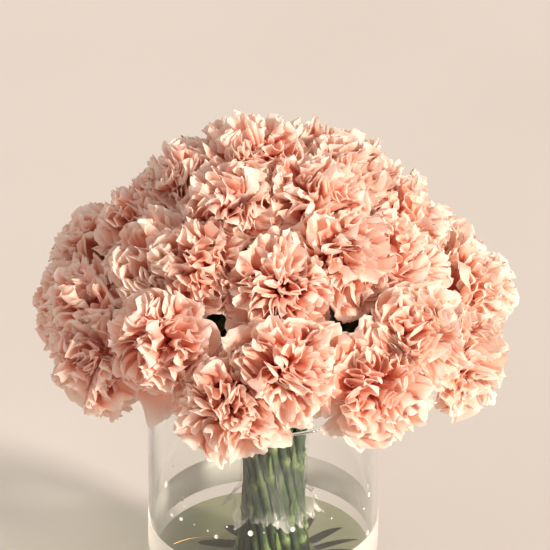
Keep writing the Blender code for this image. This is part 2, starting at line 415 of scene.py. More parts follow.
# %% [markdown]
# ## The shape of a petal
#
# A carnation petal is a fan: a narrow claw that widens to a rounded blade with a toothed, ruffled
# margin. In the bloom the outer petals bend over almost flat and the inner ones stand up and
# crumple against each other. Modelling a sheet and placing copies would look stamped, so each
# petal is worked out as a grid: its middle line bends from the calyx to a point on the bloom's
# outer dome, the fan is spread across that line, and waves that grow towards the margin ruffle
# it.

# %% One petal
PETALS = 46
PETAL_ROWS = 13
PETAL_COLUMNS = 48
CUP_CENTRE = 6 * MM
WIDEST_OPENING = math.radians(100)
GUARD_FROM, GUARD_TO = 0.62, 0.95
FAN_ANGLE = (25, 34)
GUARD_FAN = 14
TEETH = (8.5, 12)
TOOTH_HEIGHT = 1.5 * MM
WAVES = (1.25, 2.1)
GUARD_CALM = 0.85
RUFFLE_HEIGHT = (3.0, 5.4)
TWIST = 0.55
DROOP = 2.5 * MM
CURL_ROOM = 9 * MM
WRAP_LIMIT = 1.25


def middle_line(opening, start_lean, end_lean, reach):
    """Radius, height and lean at even steps along a petal that ends on the bloom's dome."""
    steps = np.linspace(0, 1, 33)
    lean = start_lean + (end_lean - start_lean) * steps**1.25
    step_r = np.concatenate([[0], np.cumsum(np.sin(lean[1:])) / 32])
    step_z = np.concatenate([[0], np.cumsum(np.cos(lean[1:])) / 32])
    foot = (1.5 + 3.2 * opening / 1.8) * MM
    end_r = step_r[-1]
    end_z = step_z[-1]
    a = end_r**2 + end_z**2
    b = foot * end_r - CUP_CENTRE * end_z
    c = foot**2 + CUP_CENTRE**2 - reach**2
    length = (-b + math.sqrt(max(b * b - a * c, 0))) / a
    return length, foot + step_r * length, step_z * length, lean


def petal_grid(rng, opening, turn, reach):
    """Points of one petal in the bloom's own frame, with its values for the finish."""
    outer = opening / WIDEST_OPENING
    start_lean = 0.32 * opening
    end_lean = 1.12 * opening + math.radians(rng.uniform(-10, 14))
    length, line_r, line_z, line_lean = middle_line(opening, start_lean, end_lean, reach)

    u = np.linspace(-1, 1, PETAL_COLUMNS)[None, :]
    t = np.linspace(0, 1, PETAL_ROWS)[:, None]
    v = 1 - (1 - t) ** 1.35
    guard = smooth(GUARD_FROM, GUARD_TO, outer)
    half_angle = math.radians(rng.uniform(*FAN_ANGLE) + GUARD_FAN * guard)
    margin = 1 - (0.10 + 0.12 * rng.random()) * np.abs(u) ** 2.6
    teeth_count = rng.uniform(*TEETH)
    teeth = np.abs(((u * teeth_count / 2 + rng.random()) % 1) * 2 - 1)
    notch = 0.6 + 0.8 * np.sin(u * 5 + rng.uniform(0, 6)) ** 2
    margin = margin + (TOOTH_HEIGHT / length) * (teeth - 0.5) * notch * smooth(0.80, 1, v)
    swing = u * half_angle
    out = v * margin
    across = out * length * np.sin(swing) + u * 2 * MM * (1 - v)
    share = np.clip(out * np.cos(swing), 0, 1.06)

    waves = rng.uniform(*WAVES) - GUARD_CALM * guard
    phase = rng.uniform(0, 2 * math.pi, 6)
    wobble = 1.7 * np.sin(2.2 * math.pi * v + phase[0])
    fold = np.sin(2 * math.pi * waves * u + wobble + phase[1])
    fine = np.sin(2 * math.pi * waves * 2.3 * u + 1.5 * wobble + phase[2])
    finer = np.sin(2 * math.pi * waves * 4.1 * u + phase[3])
    height = rng.uniform(*RUFFLE_HEIGHT) * MM * (1 - 0.1 * guard)
    twist = rng.uniform(-TWIST, TWIST) * (1 - 0.5 * outer)
    ruffle = height * (v**1.8) * (fold + 0.30 * fine * v + 0.10 * finer * v**3)
    droop = DROOP * outer * np.sin(math.pi * u * 0.8 + phase[4]) * v**2
    across = across * (1 - 0.10 * v**2) + 0.45 * height * v**2 * np.cos(
        4 * math.pi * waves * u + phase[5]
    )

    steps = np.linspace(0, 1, len(line_r))
    r = np.interp(share, steps, line_r)
    z = np.interp(share, steps, line_z)
    lean = np.interp(share, steps, line_lean)
    beyond = np.clip(share - 1, 0, None) * length
    r = r + beyond * np.sin(lean)
    z = z + beyond * np.cos(lean)
    push = ruffle + droop
    r = r + push * np.cos(lean)
    z = z - push * np.sin(lean)
    curl = 1 / (np.maximum(r, 0) + CURL_ROOM)
    round_it = across * curl
    wrap = WRAP_LIMIT * np.tanh(round_it / WRAP_LIMIT)
    slip = (across - wrap / curl) * 0.6
    angle = turn + wrap + twist * v**2
    x = r * np.cos(angle) - slip * np.sin(angle)
    y = r * np.sin(angle) + slip * np.cos(angle)
    points = np.stack([x, y, z], axis=-1).reshape(-1, 3)
    flat = np.ones_like(u)
    along = (v * flat).ravel()
    tint = np.full(along.shape, rng.random())
    places = np.stack(
        [(u * 0.5 * v + 0 * v).ravel(), (v * flat).ravel(), np.full(along.shape, rng.random() * 40)],
        axis=-1,
    )
    return points, along, tint, places


# %% [markdown]
# ## A bloom
#
# About four dozen petals sit round the middle, each turned from the last by the golden angle, as
# a plant lays its petals so that none covers the one before. The tips share out the dome from the
# centre to a little past level. The whole bloom is then warped by slow waves so that neighbouring
# petals lean together, and pressed where the next bloom stands, as flowers in a tight bunch are.

# %% One bloom
GOLDEN_TURN = math.pi * (3 - math.sqrt(5))
UV_CELLS = 7
OPENNESS = (96, 112)
BLOOM_REACH = 38.5
REACH_CHANCE = (-3.5, 3)
WARP_SIZES = (30 * MM, 17 * MM)
WARP_AMOUNT = 2.2 * MM
PRESS_HEIGHT = 0.6
PRESS_MARGIN = 5 * MM
PRESS_ROOM = 10 * MM


def bloom_points(rng, openness):
    """All petals of one bloom in its own frame: axis up, calyx mouth at the origin."""
    rows = []
    for petal in range(PETALS):
        share = (petal + 0.5) / PETALS
        opening = math.radians(openness) * share**0.60
        turn = petal * GOLDEN_TURN + rng.uniform(-0.25, 0.25)
        reach = BLOOM_REACH + 2 * math.cos(opening) + 8 * share**4
        reach = (reach + rng.uniform(*REACH_CHANCE)) * MM
        rows.append(petal_grid(rng, opening, turn, reach))
    points = np.concatenate([row[0] for row in rows])
    along = np.concatenate([row[1] for row in rows])
    tint = np.concatenate([row[2] for row in rows])
    places = np.concatenate([row[3] for row in rows])
    return points, along, tint, places


def warp(points, rng, amount):
    """Push points by slow waves, so that petals close together move together."""
    moved = points.copy()
    for size in WARP_SIZES:
        for axis in range(3):
            direction = unit(rng.normal(size=3))
            phase = rng.uniform(0, 2 * math.pi)
            wave = np.sin(points @ direction * (2 * math.pi / size) + phase)
            moved[:, axis] += amount * (size / WARP_SIZES[0]) * wave
    return moved


def press(points, base, axis, place, others):
    """Squeeze petals back where they would run into the next bloom."""
    middle = base + axis * BLOOM_DEPTH * PRESS_HEIGHT
    for other in others:
        apart = other["base"] + other["axis"] * BLOOM_DEPTH * PRESS_HEIGHT - middle
        distance = np.linalg.norm(apart)
        if other is place or distance > BLOOM_WIDTH * 1.25:
            continue
        facing = apart / distance
        past = (points - middle) @ facing - (distance / 2 - PRESS_MARGIN)
        kept = PRESS_ROOM * (1 - np.exp(-np.maximum(past, 0) / PRESS_ROOM))
        points = points - np.maximum(past, 0)[:, None] * facing + kept[:, None] * facing
    return points


def petal_uvs():
    """Each petal gets its own square of the map, so nothing overlaps when it is baked."""
    column, row = np.meshgrid(np.linspace(0, 1, PETAL_COLUMNS), np.linspace(0, 1, PETAL_ROWS))
    cell = np.stack([column, row], axis=-1).reshape(-1, 2) * 0.97 + 0.015
    sheets = [(cell + (petal % UV_CELLS, petal // UV_CELLS)) / UV_CELLS for petal in range(PETALS)]
    return np.concatenate(sheets)


def build_bloom(number, place):
    rng = np.random.default_rng(100 + number)
    openness = rng.uniform(*OPENNESS)
    points, along, tint, places = bloom_points(rng, openness)
    # How deep a point lies in the bloom: the finish paints deep points darker coral, as painted shade
    # and painted glow of light bounced among the petals.
    reach = np.linalg.norm(points - (0, 0, CUP_CENTRE), axis=1)
    depth = np.clip(1 - reach / (40 * MM), 0, 1)
    points = warp(points, rng, WARP_AMOUNT)
    axis = place["axis"]
    side = unit(np.cross(axis, (0.31, 0.95, 0.05)))
    other = np.cross(axis, side)
    world = place["base"] + points @ np.array([side, other, axis])
    world = press(world, place["base"], axis, place, flowers)
    # A random tone per bloom plus painted shade: blooms that face left, away from the sun, are mixed
    # further to the darker rose colour.
    tone_and_left_shade = 0.22 * rng.random() + 0.22 * (1 - axis[0])
    values = np.stack([along, depth, np.clip(tint * 0.5 + tone_and_left_shade, 0, 1)], axis=-1)
    size = PETAL_ROWS * PETAL_COLUMNS
    faces = np.concatenate(
        [grid_faces(PETAL_ROWS, PETAL_COLUMNS, petal * size) for petal in range(PETALS)]
    )
    name = f"bloom_{number:02d}"
    bloom = add_mesh(name, world, faces, petals_finish, values, places)
    layer = bloom.data.uv_layers.new(name="OFBake")
    layer.data.foreach_set("uv", petal_uvs()[faces.ravel()].astype(np.float32).ravel())
    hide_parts(f"flower_head_{number:02d}")
    return bloom


for number, place in enumerate(flowers, start=1):
    build_bloom(number, place)
print("built", len(flowers), "blooms of", PETALS, "petals")

# %% [markdown]
# ## The line of each stem
#
# A stem stands on the vase's floor, leans with its neighbours through the waist, bends out and
# meets its flower along the flower's own axis. Drawing 37 curves by hand would never make them
# miss each other. The rule below keeps each ring of stems on a twisted cone, which is what the
# florist's spiral does, and it is the rule that the solid stems follow.

# %% Stem lines
STEM_DIAMETER = 5.6 * MM
NECK_DIAMETER = 4.6 * MM
CALYX_LENGTH = 25 * MM
CALYX_DIAMETER = 14 * MM
STEM_CLEARANCE = 0.5 * MM
STEM_PRESS = 0.82
STEM_RISE = 1.2
GAP = 0.3 * MM
WAIST_Z = VASE_HEIGHT - 72 * MM
SPIRAL_HEIGHT = 85 * MM
STEM_FOOT_Z = VASE_BASE + 2 * GAP


def pressed_ring_radius(count):
    return 0 if count < 2 else STEM_PRESS * STEM_DIAMETER / (2 * math.sin(math.pi / count))


def waist_radius(ring):
    """Radius of a ring of stems at the waist: the inner rings press together."""
    count = RINGS[ring][0]
    if ring < len(RINGS) - 1:
        return pressed_ring_radius(count)
    apart = STEM_DIAMETER + STEM_CLEARANCE
    round_ring = apart / (2 * math.sin(math.pi / count))
    return max(round_ring, pressed_ring_radius(RINGS[ring - 1][0]) + apart)


def spiral_turn(height):
    return -math.atan((height - WAIST_Z) / SPIRAL_HEIGHT)


def stem_turn(place, height):
    """Direction of a stem round the bundle at a height, before it bends to its flower."""
    return place["slot"] + spiral_turn(height) - spiral_turn(DOME_CENTRE[2])


def around(radius, turn, height):
    """A point at a radius and a turn about the bundle's middle."""
    return BOUQUET_X + radius * math.cos(turn), radius * math.sin(turn), height


def hermite(start, leave, end, arrive, t):
    """A smooth curve at t, from its ends and the directions in which it leaves and arrives."""
    bend_in = np.array(leave) * (t**3 - 2 * t**2 + t) + np.array(arrive) * (t**3 - t**2)
    from_start = np.array(start) * (2 * t**3 - 3 * t**2 + 1)
    return from_start + np.array(end) * (3 * t**2 - 2 * t**3) + bend_in


def stem_line(place):
    """Middle line of a stem from its foot to its neck, just under the calyx."""
    radius = waist_radius(place["ring"])
    axis = place["axis"]
    neck = place["base"] - axis * (GAP + CALYX_LENGTH)
    top_radius = math.hypot(neck[0] - BOUQUET_X, neck[1])
    top_turn = math.atan2(neck[1], neck[0] - BOUQUET_X)
    sway = math.remainder(top_turn - stem_turn(place, neck[2]), 2 * math.pi)
    points = []
    for height in np.linspace(STEM_FOOT_Z, WAIST_Z, 14, endpoint=False):
        flare = math.hypot(1, (height - WAIST_Z) / SPIRAL_HEIGHT)
        points.append(around(radius * flare, stem_turn(place, height), height))
    rise = STEM_RISE * math.hypot(top_radius - radius, neck[2] - WAIST_Z)
    arrive = (rise * axis[2], rise * math.hypot(axis[0], axis[1]))
    for t in np.linspace(0, 1, 30):
        height, across = hermite((WAIST_Z, radius), (rise, 0), (neck[2], top_radius), arrive, t)
        turn = top_turn if radius == 0 else stem_turn(place, height) + sway * t * t
        points.append(around(across, turn, height))
    return np.array(points)


stem_lines = [stem_line(flower) for flower in flowers]
for number in (1, 10, 18):
    low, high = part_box(f"outer_stem_{number:02d}")
    line = stem_lines[number + 18]
    slack = max(float(np.max(line - np.array(high))), float(np.max(np.array(low) - line)))
    print("outer stem", number, "line stands out of its solid's box by", round(slack / MM, 2), "mm")

# %% [markdown]
# ## Green finish
#
# Carnation stems and leaves are a dull blue-green with a waxy bloom, and turn yellow-green where
# a leaf joins and on the calyx. One finish serves them all: the mesh says how much joint and how
# much calyx there is at each point, so the colours meet softly, as they do on the plant.

# %% Green finish


def green_material():
    material, tree = start_material("stem_green")
    values = add_node(tree, "ShaderNodeAttribute", attribute_name="values").outputs["Color"]
    places = add_node(tree, "ShaderNodeAttribute", attribute_name="places").outputs["Vector"]
    parts = add_node(tree, "ShaderNodeSeparateColor", {"Color": values}).outputs
    skin = add_node(
        tree,
        "ShaderNodeGroup",
        {"Place": places, "Across": 9.0, "Along": 0.5, "Patch scale": 0.9, "Relief": 0.0004},
        node_tree=fibres_effect,
    ).outputs
    mixed = math_node(tree, "MULTIPLY_ADD", skin["Fibres"], 0.45)
    tree.links.new(skin["Patches"], mixed.node.inputs[2])
    stem = ramp(
        tree,
        mixed,
        ((0.45, (0.005, 0.015, 0.006)), (0.75, (0.016, 0.040, 0.012)), (0.98, (0.055, 0.095, 0.028))),
    )
    young = ramp(tree, mixed, ((0.4, (0.035, 0.075, 0.018)), (0.95, (0.13, 0.17, 0.05))))
    calyx = ramp(tree, mixed, ((0.4, (0.06, 0.13, 0.035)), (0.95, (0.16, 0.27, 0.08))))
    colour = mix_colours(tree, parts["Green"], stem, young)
    colour = mix_colours(tree, parts["Blue"], colour, calyx)
    rough = math_node(tree, "MULTIPLY_ADD", skin["Patches"], 0.25)
    rough.node.inputs[2].default_value = 0.27
    shader = add_node(
        tree,
        "ShaderNodeBsdfPrincipled",
        {"Base Color": colour, "Roughness": rough, "Normal": skin["Normal"]},
    )
    finish_material(tree, shader.outputs[0])
    return material


green_finish = green_material()
print("made the green finish with", len(green_finish.node_tree.nodes), "nodes")

# %% [markdown]
# ## Tubes, straps and joined grids
#
# A stem is a round tube along its line, and a leaf is a strap with a keel. Both are grids of
# points like the petals, so one joining helper turns a list of grids into the arrays of a single
# mesh. A curve with a bevel would make the tube too, but not the swollen joints along it.

# %% Tube and leaf helpers


def resample(line, step):
    """The same line with points at even steps, and their distances from its start."""
    lengths = np.linalg.norm(np.diff(line, axis=0), axis=1)
    reached = np.concatenate([[0], np.cumsum(lengths)])
    wanted = np.linspace(0, reached[-1], max(int(reached[-1] / step), 2))
    return np.stack([np.interp(wanted, reached, line[:, axis]) for axis in range(3)], 1), wanted


def tube_grid(line, radii, sides):
    """Rows of points round a line; radii may change along it and round it."""
    along = np.gradient(line, axis=0)
    along /= np.linalg.norm(along, axis=1)[:, None]
    side = np.zeros_like(line)
    current = np.array((1.0, 0.02, 0.01))
    for row, direction in enumerate(along):
        current = unit(current - direction * (current @ direction))
        side[row] = current
    other = np.cross(along, side)
    turn = np.arange(sides) * 2 * math.pi / sides
    ring = side[:, None] * np.cos(turn)[None, :, None] + other[:, None] * np.sin(turn)[None, :, None]
    return line[:, None] + ring * np.reshape(radii, (len(line), -1, 1))


def leaf_grid(root, along, out, length, width, leans):
    """A strap leaf with a keel: it leaves along the stem and bends outward to its tip."""
    share = np.linspace(0, 1, 11)
    lean = leans[0] + (leans[1] - leans[0]) * share**1.4
    direction = np.cos(lean)[:, None] * along + np.sin(lean)[:, None] * out
    middle = root + np.cumsum(direction, axis=0) * (length / 10) - direction[0] * (length / 10)
    half = 0.5 * width * np.sqrt(np.clip(1 - share**1.8, 0, 1)) * (0.75 + 0.5 * share * (1 - share))
    u = np.linspace(-1, 1, 5)
    side = unit(np.cross(along, out))
    back = np.cos(lean)[:, None] * out - np.sin(lean)[:, None] * along
    keel = (np.abs(u)[None, :, None] - 1) * 0.35 * half[:, None, None] * -back[:, None]
    return middle[:, None] + side * (u[None, :, None] * half[:, None, None]) + keel


def grid_entry(points, values, tag, wrap=False, stretch=100.0):
    """A grid with its finish values; its places run round and along it, in centimetres along."""
    rows, columns = points.shape[:2]
    steps = np.linalg.norm(np.diff(points, axis=0), axis=2).mean(axis=1)
    reached = np.concatenate([[0], np.cumsum(steps)]) * stretch
    places = np.zeros((rows, columns, 3))
    places[..., 0] = np.linspace(0, 1, columns)[None, :]
    places[..., 1] = reached[:, None]
    places[..., 2] = tag
    values = np.broadcast_to(np.asarray(values, dtype=float), (rows, columns, 3))
    return {"points": points, "values": values, "places": places, "wrap": wrap}


def add_grids(name, grids, material):
    """One mesh object from several grids."""
    faces = []
    first = 0
    for grid in grids:
        rows, columns = grid["points"].shape[:2]
        faces.append(grid_faces(rows, columns, first, grid["wrap"]))
        first += rows * columns
    flat = [np.concatenate([grid[key].reshape(-1, 3) for grid in grids])
            for key in ("points", "values", "places")]
    return add_mesh(name, flat[0], np.concatenate(faces), material, flat[1], flat[2])


# %% [markdown]
# ## A stem with its joints, leaves and calyx
#
# Every few centimetres a carnation stem swells into a pale joint where a pair of leaves grew. In
# the vase the leaves are stripped, so only short stubs stay on the lower joints; higher up whole
# leaves curve out among the blooms. The stem ends in the calyx, a smooth green cup with five
# teeth and a few scales round its foot. All of it grows as one body, so it is one piece.

# %% Stems
STEM_SIDES = 12
CALYX_SIDES = 30


def joint_distances(rng, length):
    """How far along a stem its joints lie, from the foot."""
    found = []
    at = rng.uniform(14, 50) * MM
    while at < length - 16 * MM:
        found.append(at)
        at += rng.uniform(46, 66) * MM
    return found


def calyx_grids(place, tag):
    """The cup under the petals with five teeth, and four scales that clasp its foot."""
    axis = place["axis"]
    end = place["base"] - axis * GAP
    neck = end - axis * CALYX_LENGTH
    side = unit(np.cross(axis, (0.2, 0.9, 0.1)))
    other = np.cross(axis, side)
    turn = np.arange(CALYX_SIDES) * 2 * math.pi / CALYX_SIDES
    share = np.linspace(0, 1, 14)
    outline = ((0, 0.16), (0.08, 0.27), (0.30, 0.40), (0.65, 0.48), (1, 0.50))
    radius = np.interp(share, *zip(*outline)) * CALYX_DIAMETER
    tooth = 1 - np.abs(2 * ((5 * turn / (2 * math.pi)) % 1) - 1)
    rise = np.concatenate([share * CALYX_LENGTH, np.full(4, CALYX_LENGTH)])[:, None]
    rise = rise + np.concatenate([np.zeros(14), np.linspace(0.25, 1, 4)])[:, None] * tooth * 6 * MM
    radius = np.concatenate([radius, radius[-1] * np.linspace(1.01, 1.06, 4)])[:, None]
    ring = np.cos(turn)[:, None] * side + np.sin(turn)[:, None] * other
    cup = neck + rise[..., None] * axis + (radius * np.ones_like(rise))[..., None] * ring
    grids = [grid_entry(cup, (1, 0.0, 0.9), tag, wrap=True)]
    for scale in range(4):
        t = np.linspace(0, 1, 7)[:, None]
        u = np.linspace(-1, 1, 7)[None, :]
        angle = scale * math.pi / 2 + u * 0.95 * np.sqrt(np.clip(1 - t**2.5, 0, 1)) + 0.3
        height = (1.5 + 9 * t) * MM + 0 * u
        out = np.interp(height / CALYX_LENGTH, *zip(*outline)) * CALYX_DIAMETER
        out = out + (0.35 + 0.6 * t + 0.1 * (scale % 2)) * MM
        leaf_ring = np.cos(angle)[..., None] * side + np.sin(angle)[..., None] * other
        scale_points = neck + height[..., None] * axis + out[..., None] * leaf_ring
        grids.append(grid_entry(scale_points, (1, 0.25, 0.8), tag + 3))
    return grids


def joint_leaves(rng, line, where, distance, turn, tag):
    """The pair of leaves, or their stubs, on one joint of a stem."""
    row = int(np.clip(np.searchsorted(where, distance), 1, len(line) - 2))
    along = unit(line[row + 1] - line[row - 1])
    side = unit(np.cross(along, (0.3, 0.2, 0.93) if abs(along[2]) < 0.9 else (1.0, 0.1, 0)))
    other = np.cross(along, side)
    height = line[row][2]
    grids = []
    in_vase = height < VASE_HEIGHT - 10 * MM
    half_turns = (0, math.pi) if in_vase else (0, math.pi, 1.3, math.pi + 1.7)
    for half_turn in half_turns:
        out = math.cos(turn + half_turn) * side + math.sin(turn + half_turn) * other
        if in_vase:
            length, width = rng.uniform(7, 20) * MM, 4.2 * MM
            leans = (0.05, rng.uniform(0.1, 0.5))
            young = 0.75
        else:
            length, width = rng.uniform(34, 58) * MM, rng.uniform(9, 15) * MM
            leans = (0.15, rng.uniform(0.7, 1.5))
            young = 0.15
        root = line[row] + out * STEM_DIAMETER * 0.45
        leaf = leaf_grid(root, along, out, length, width, leans)
        grids.append(grid_entry(leaf, (0.5, young, 0.0), tag + 5 + half_turn))
    return grids


def build_stem(name, number, place):
    rng = np.random.default_rng(500 + number)
    line, where = resample(stem_lines[number], 1.6 * MM)
    share = where / where[-1]
    radius = (STEM_DIAMETER + (NECK_DIAMETER - STEM_DIAMETER) * share) / 2
    swelling = np.zeros_like(where)
    sheath = np.zeros_like(where)
    joints = joint_distances(rng, where[-1])
    for joint in joints:
        past = where - joint
        swelling += np.exp(-((past / (2.6 * MM)) ** 2))
        sheath += np.where(past > 0, np.exp(-past / (8 * MM)), 0)
    radius = radius * (1 + 0.40 * swelling + 0.08 * sheath)
    radius[0] *= 0.05
    tube = tube_grid(line, radius, STEM_SIDES)
    values = np.zeros(tube.shape)
    values[..., 0] = share[:, None]
    values[..., 1] = np.clip(0.75 * swelling + 0.35 * sheath, 0, 1)[:, None]
    grids = [grid_entry(tube, values, number * 3.7, wrap=True)]
    for joint in joints:
        turn = rng.uniform(0, math.pi)
        grids += joint_leaves(rng, line, where, joint, turn, number * 3.7)
    grids += calyx_grids(place, number * 3.7 + 1)
    stem = add_grids(name, grids, green_finish)
    return stem


inner_count = sum(count for count, *rest in RINGS[:-1])
for number, flower in enumerate(flowers):
    if number < inner_count:
        stem = build_stem(f"inner_stem_{number + 1:02d}", number, flower)
        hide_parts("inner_stems")
    else:
        outer = number - inner_count + 1
        stem = build_stem(f"stem_{outer:02d}", number, flower)
        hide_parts(f"outer_stem_{outer:02d}")
print("built", len(flowers), "stems with their leaves and calyxes")

# %% [markdown]
# ## Turned shapes
#
# The vase, its water and the band round it are all round about one upright axis, so each is an
# outline turned about it. Blender's Screw modifier would do the same; working the grid out here
# keeps the outline as a short list of straight runs and arcs that can be read and changed.

# %% Turned shapes
TURNED_SIDES = 192


def arc(middle, radius, first, last, steps=6):
    """Points of a round corner in an outline, by its middle, radius and angles in degrees."""
    angles = np.radians(np.linspace(first, last, steps))
    return [(middle[0] + radius * math.cos(a), middle[1] + radius * math.sin(a)) for a in angles]


def turned(name, outline, material):
    """A closed turned shape from (radius, height) points, welded where they meet."""
    outline = np.array(outline)
    turn = np.arange(TURNED_SIDES) * 2 * math.pi / TURNED_SIDES
    x = outline[:, :1] * np.cos(turn)
    y = outline[:, :1] * np.sin(turn)
    z = np.broadcast_to(outline[:, 1:], x.shape)
    points = np.stack([x, y, z], axis=-1).reshape(-1, 3)
    shape = add_mesh(name, points, grid_faces(len(outline), TURNED_SIDES, wrap=True), material)
    weld = bmesh.new()
    weld.from_mesh(shape.data)
    bmesh.ops.remove_doubles(weld, verts=weld.verts, dist=0.002 * MM)
    weld.to_mesh(shape.data)
    weld.free()
    return shape


# %% [markdown]
# ## Glass and water finishes
#
# Clear glass and water have almost no colour of their own; what shows is how they bend and mirror
# the room. In a path tracer, light reaches the inside of glass only by luck, and the inside goes
# dark. So a shadow ray is let straight through: a Light Path node swaps the shader for a
# Transparent one on those rays, and on rays that have bounced so often inside the wall that they
# would end in black. The water is still tinted a darker grey-green, and so is the light it lets
# through to the stems: this is painted shade of the vase's shaded inside. Faint smears change the
# gloss from place to place.

# %% Glass and water finishes


def clear_material(name, tints, index, rough, smears, shadow_tint, clear_share=1.0):
    """Glass or water: two close tints, how it bends light, its gloss and its smears."""
    material, tree = start_material(name)
    scale, dent_scale, dent_depth = smears
    surface = add_node(
        tree,
        "ShaderNodeGroup",
        {"Smear scale": scale, "Dent scale": dent_scale, "Dent depth": dent_depth},
        node_tree=smears_effect,
    ).outputs
    colour = ramp(tree, surface["Smears"], ((0.35, tints[0]), (0.7, tints[1])))
    gloss = ramp(tree, surface["Smears"], ((0.45, (rough[0],) * 3), (0.75, (rough[1],) * 3)))
    shader = add_node(
        tree,
        "ShaderNodeBsdfPrincipled",
        {"Base Color": colour, "Roughness": gloss, "Normal": surface["Normal"], "IOR": index},
    )
    shader.inputs["Transmission Weight"].default_value = clear_share
    through = add_node(tree, "ShaderNodeBsdfTransparent", {"Color": (*shadow_tint, 1)})
    rays = add_node(tree, "ShaderNodeLightPath").outputs
    spent = math_node(tree, "GREATER_THAN", rays["Ray Depth"], 3.5)
    straight = math_node(tree, "MAXIMUM", rays["Is Shadow Ray"], spent)
    both = add_node(
        tree, "ShaderNodeMixShader", {0: straight, 1: shader.outputs[0], 2: through.outputs[0]}
    )
    finish_material(tree, both.outputs[0])
    return material


glass_finish = clear_material(
    "vase_glass", ((0.975, 0.985, 0.975), (0.99, 0.995, 0.99)), 1.45, (0.0, 0.03),
    (14.0, 9.0, 0.00002), (0.93, 0.94, 0.93),
)
# The water's dark grey-green tints, and the darker tint on light passing through it, are painted
# shade of the shaded inside of the vase.
water_finish = clear_material(
    "vase_water", ((0.70, 0.74, 0.58), (0.80, 0.82, 0.67)), 1.33, (0.0, 0.02),
    (22.0, 45.0, 0.0001), (0.58, 0.62, 0.48),
)
drop_finish = clear_material(
    "bright_drops", ((0.93, 0.94, 0.90), (0.98, 0.98, 0.96)), 1.33, (0.05, 0.12),
    (22.0, 45.0, 0.0001), (0.95, 0.96, 0.93), 0.35,
)
print("made glass, water and drops")

# %% [markdown]
# ## The vase and the water
#
# The vase is a plain cylinder with a heavy base. Its rim is melted round in the fire, which is
# what draws the bright line along the top of real glass, so the outline ends in a half circle.
# Smooth shading blends the direction of a wall into its rounding, which on glass would bend the
# view through the whole wall, so a point close beside each rounding keeps the long walls true.
# The water reaches a hair into the glass: two clear surfaces exactly on each other would flicker,
# and a gap would look like a layer of air. At the wall it climbs a little, as water does.

# %% Vase and water
RIM_RADIUS = VASE_WALL / 2
BORE = VASE_RADIUS - VASE_WALL
FOOT_ROUNDING = 2.5 * MM
BORE_ROUNDING = 5 * MM
WATER_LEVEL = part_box("water")[1][2]
INTO_GLASS = 0.12 * MM

beside = 0.3 * MM
vase_outline = [(0, 0.4 * MM), (VASE_RADIUS * 0.72, 0.4 * MM), (VASE_RADIUS * 0.78, 0)]
vase_outline += arc((VASE_RADIUS - FOOT_ROUNDING, FOOT_ROUNDING), FOOT_ROUNDING, -90, 0)
vase_outline += [(VASE_RADIUS, FOOT_ROUNDING + beside)]
vase_outline += [(VASE_RADIUS, VASE_HEIGHT * share) for share in (0.25, 0.5, 0.75)]
vase_outline += [(VASE_RADIUS, VASE_HEIGHT - RIM_RADIUS - beside)]
vase_outline += arc((BORE + RIM_RADIUS, VASE_HEIGHT - RIM_RADIUS), RIM_RADIUS, 0, 180, 12)
vase_outline += [(BORE, VASE_HEIGHT - RIM_RADIUS - beside)]
vase_outline += [(BORE, VASE_HEIGHT * share) for share in (0.75, 0.5, 0.25)]
vase_outline += [(BORE, VASE_BASE + BORE_ROUNDING + beside)]
vase_outline += arc((BORE - BORE_ROUNDING, VASE_BASE + BORE_ROUNDING), BORE_ROUNDING, 0, -90, 9)
vase_outline += [(BORE - BORE_ROUNDING - beside, VASE_BASE - 0.02 * MM)]
vase_outline += [(BORE * 0.5, VASE_BASE - 0.3 * MM), (0, VASE_BASE - 0.4 * MM)]
vase = turned("vase", vase_outline, glass_finish)
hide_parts("glass_vase")

wet = BORE + INTO_GLASS
wet_floor = VASE_BASE - 0.4 * MM - INTO_GLASS
water_outline = [(0, wet_floor), (BORE * 0.5, wet_floor + 0.1 * MM)]
rounding_centre = (BORE - BORE_ROUNDING, VASE_BASE + BORE_ROUNDING)
water_outline += arc(rounding_centre, BORE_ROUNDING + INTO_GLASS, -90, 0)
water_outline += [(wet, VASE_BASE + BORE_ROUNDING + beside)]
water_outline += [(wet, WATER_LEVEL * share) for share in (0.4, 0.7)]
water_outline += [(wet, WATER_LEVEL + 1.4 * MM - beside), (wet, WATER_LEVEL + 1.4 * MM)]
water_outline += [(BORE - 0.4 * MM, WATER_LEVEL + 0.7 * MM)]
water_outline += [(BORE - 1.3 * MM, WATER_LEVEL + 0.2 * MM), (BORE - 3 * MM, WATER_LEVEL)]
water_outline += [(BORE - 4 * MM, WATER_LEVEL)]
water_outline += [(BORE * share, WATER_LEVEL) for share in (0.8, 0.5, 0.2, 0)]
water = turned("water_body", water_outline, water_finish)
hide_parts("water")
print("the vase is", round(VASE_RADIUS * 2 / MM), "mm wide")
print("the water stands", round(WATER_LEVEL / MM), "mm high")

# %% [markdown]
# ## The band round the vase
#
# A thin strip of frosted, slightly see-through film is stuck round the glass. It is left plain.
# Light from behind makes it glow and light from the front makes it white, which needs all three
# of a surface, a translucent and a transparent part. A fine satin grain keeps it from looking
# like paint.

# %% Band


